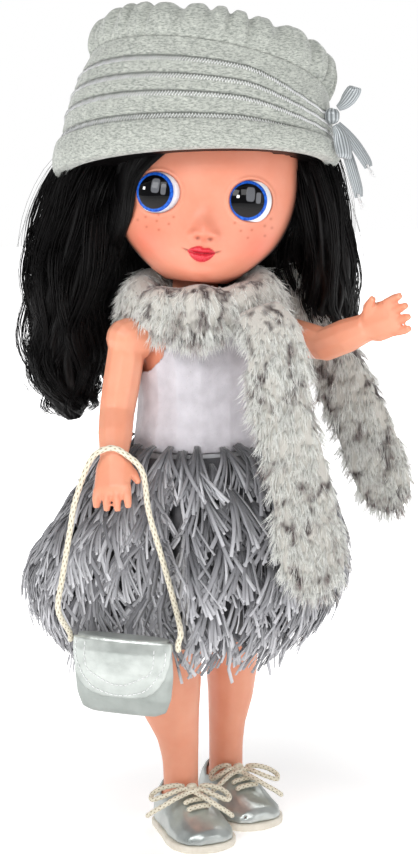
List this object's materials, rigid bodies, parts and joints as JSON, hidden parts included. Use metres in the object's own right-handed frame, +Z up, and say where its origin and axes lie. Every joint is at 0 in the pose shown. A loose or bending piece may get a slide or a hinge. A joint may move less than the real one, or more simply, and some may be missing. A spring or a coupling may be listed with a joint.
{
  "type": "dressed fashion play doll",
  "caption": "Vinyl play doll with long dark hair, stitched grey cap, plush scarf, sleeveless top, shaggy skirt, silver lace-up shoes and a small handbag on a cord.",
  "frame": {"origin": "on the floor under the middle of the doll's box, measured without its free cords", "axes": "+Z up along the standing doll, -Y the way the body faces, +X towards the doll's left"},
  "size_m": [0.1809, 0.162, 0.3756],
  "materials": {
    "skin": "smooth matt soft vinyl, rosy cheeks",
    "plug": "plain moulded",
    "eye_white": "glossy",
    "iris": "glossy dark dome with a thin blue edge",
    "hair": "fine near-black synthetic hair",
    "velour": "heathered grey velour with silver seams",
    "organza": "ribbed silver organza",
    "fur": "long pale grey plush with brown patches",
    "glitter_cloth": "white cloth with fine glitter",
    "hook_tape": "white closing tape",
    "ribbon_yarn": "grey ribbon yarn with lighter tips",
    "silver_leather": "silver coated imitation leather",
    "sole": "cream moulded",
    "braid": "cream and gold braided cord"
  },
  "bodies": {
    "torso": {"torso_shell": "skin", "neck_plug": "plug", "top": "glitter_cloth", "top_closure": "hook_tape", "skirt_waistband": "ribbon_yarn", "skirt": "ribbon_yarn", "scarf_collar": "fur", "scarf_front_end": "fur", "scarf_back_end": "fur"},
    "head": {"head_shell": "skin", "right_eyeball": "eye_white", "left_eyeball": "eye_white", "right_iris": "iris", "left_iris": "iris", "hair_crown": "hair", "hair_right": "hair", "hair_left": "hair", "hair_back": "hair"},
    "cap": {"cap_band": "velour", "cap_brim": "velour", "cap_crown": "velour", "cap_ruffle": "velour", "bow_knot": "organza", "bow_loop_upper": "organza", "bow_loop_lower": "organza", "bow_tail_long": "organza", "bow_tail_short": "organza"},
    "right_arm_body": {"right_arm": "skin"},
    "left_arm_body": {"left_arm": "skin"},
    "right_leg_body": {"right_leg": "skin", "right_sole": "sole", "right_upper": "silver_leather", "right_lace_knot": "braid", "right_lace_rung_1": "braid", "right_lace_rung_2": "braid", "right_lace_loop_outer": "braid", "right_lace_loop_inner": "braid", "right_lace_tail_outer": "braid", "right_lace_tail_inner": "braid"},
    "left_leg_body": {"left_leg": "skin", "left_sole": "sole", "left_upper": "silver_leather", "left_lace_knot": "braid", "left_lace_rung_1": "braid", "left_lace_rung_2": "braid", "left_lace_loop_outer": "braid", "left_lace_loop_inner": "braid", "left_lace_tail_outer": "braid", "left_lace_tail_inner": "braid"},
    "bag": {"bag_pouch": "silver_leather", "bag_cord": "braid"},
    "flap": {"bag_flap": "silver_leather"}
  },
  "joints": [
    {"name": "neck_turn", "type": "hinge", "parent": "torso", "child": "head", "pos_m": [-0.01368, 0.01015, 0.248], "axis": [0.1219, 0.0346, 0.9919], "range_deg": [-60, 60], "deforming": ["hair_right", "hair_left", "hair_back", "scarf_collar"]},
    {"name": "cap_lift", "type": "slide", "parent": "head", "child": "cap", "axis": [0.2111, 0.2621, 0.9417], "range_m": [0, 0.07]},
    {"name": "right_shoulder", "type": "hinge", "parent": "torso", "child": "right_arm_body", "pos_m": [-0.04068, 0.00615, 0.234], "axis": [-1, 0, 0], "range_deg": [-6, 80], "deforming": ["hair_right", "scarf_collar", "skirt"]},
    {"name": "left_shoulder", "type": "hinge", "parent": "torso", "child": "left_arm_body", "pos_m": [0.01832, 0.00615, 0.234], "axis": [-1, 0, 0], "range_deg": [-60, 30], "deforming": ["hair_left", "scarf_front_end", "scarf_back_end", "scarf_collar", "skirt"]},
    {"name": "right_hip", "type": "hinge", "parent": "torso", "child": "right_leg_body", "pos_m": [-0.02518, 0.00615, 0.146], "axis": [-0.8192, 0, -0.5736], "range_deg": [-15, 12], "deforming": ["skirt"]},
    {"name": "left_hip", "type": "hinge", "parent": "torso", "child": "left_leg_body", "pos_m": [0.00282, 0.00615, 0.146], "axis": [-0.8192, 0, 0.5736], "range_deg": [-15, 80], "deforming": ["skirt", "scarf_front_end"]},
    {"name": "bag_swing", "type": "hinge", "parent": "right_arm_body", "child": "bag", "pos_m": [-0.06726, -0.02378, 0.19027], "axis": [-0.8829, 0.4695, 0], "range_deg": [0, 60]},
    {"name": "bag_flap_lift", "type": "hinge", "parent": "bag", "child": "flap", "pos_m": [-0.06292, -0.02045, 0.1076], "axis": [-0.682, 0.7314, 0], "range_deg": [0, 80]}
  ]
}
